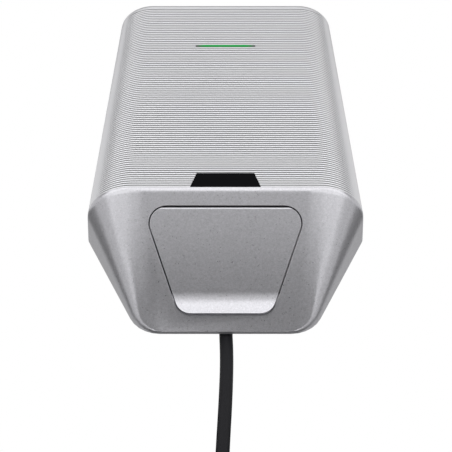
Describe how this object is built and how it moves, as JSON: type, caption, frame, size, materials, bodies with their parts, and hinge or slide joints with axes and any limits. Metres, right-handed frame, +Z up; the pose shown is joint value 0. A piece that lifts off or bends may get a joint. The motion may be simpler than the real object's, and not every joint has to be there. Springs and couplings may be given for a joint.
{
  "type": "ev wallbox",
  "caption": "Wall charging box with a finely ribbed tapered front, a status light and a sprung socket flap on its sloping underside; a supply lead hangs below.",
  "frame": {"origin": "on the wall plane, at the centre of the four wall screws", "axes": "+X to the right seen from the front, +Y into the wall, +Z up"},
  "size_m": [0.2889, 0.0932, 0.6696],
  "materials": {
    "ribbed_silver": "satin silver paint over moulded ribs",
    "metallic_grey": "fine metallic grey paint",
    "black_gloss": "polished black",
    "black_plastic": "fine moulded grain",
    "light_green": "lit diffuser",
    "light_grey": "moulded tray",
    "black_rubber": "matt rubber",
    "cable_rubber": "smooth cable sheath",
    "steel": "zinc-plated steel",
    "contact_metal": "silvered brass",
    "board_green": "solder mask",
    "relay_black": "moulded case",
    "transformer_yellow": "taped winding",
    "can_metal": "drawn can",
    "terminal_green": "moulded block",
    "core_colours": "insulated cores"
  },
  "bodies": {
    "housing": {"front_cover": "ribbed_silver", "lower_cover": "metallic_grey", "spring_pins": "steel", "flap_spring": "steel", "socket_body": "black_plastic", "contact_carrier": "black_plastic", "contact_sleeves": "contact_metal", "socket_seal": "black_rubber", "socket_screws": "steel", "lock_actuator": "black_plastic", "rear_housing": "light_grey", "housing_seal": "black_rubber", "joint_screws": "steel", "cover_screws": "steel", "badge_plate": "black_gloss", "light_bar": "light_green", "led_board": "board_green", "main_board": "board_green", "board_screws": "steel", "relays": "relay_black", "transformer": "transformer_yellow", "capacitors": "can_metal", "current_sensor": "relay_black", "terminal_block": "terminal_green", "radio_module": "can_metal", "cable_gland": "black_plastic", "gland_nut": "black_plastic", "gland_locknut": "black_plastic", "cable_coil": "cable_rubber", "cable_tie": "black_plastic", "supply_cable": "cable_rubber", "supply_cores": "core_colours", "core_ferrules": "can_metal"},
    "flap": {"flap": "metallic_grey", "hinge_pins": "steel"},
    "lock": {"lock_pin": "steel"}
  },
  "joints": [
    {"name": "flap_hinge", "type": "hinge", "parent": "housing", "child": "flap", "pos_m": [0, -0.08142, -0.10195], "axis": [-1, 0, 0], "range_deg": [0, 80], "stiffness_Nm_per_rad": 0.03, "springref_deg": -68.75, "deforming": ["flap_spring"]},
    {"name": "lock_slide", "type": "slide", "parent": "housing", "child": "lock", "axis": [-1, 0, 0], "range_m": [0, 0.0055]}
  ]
}
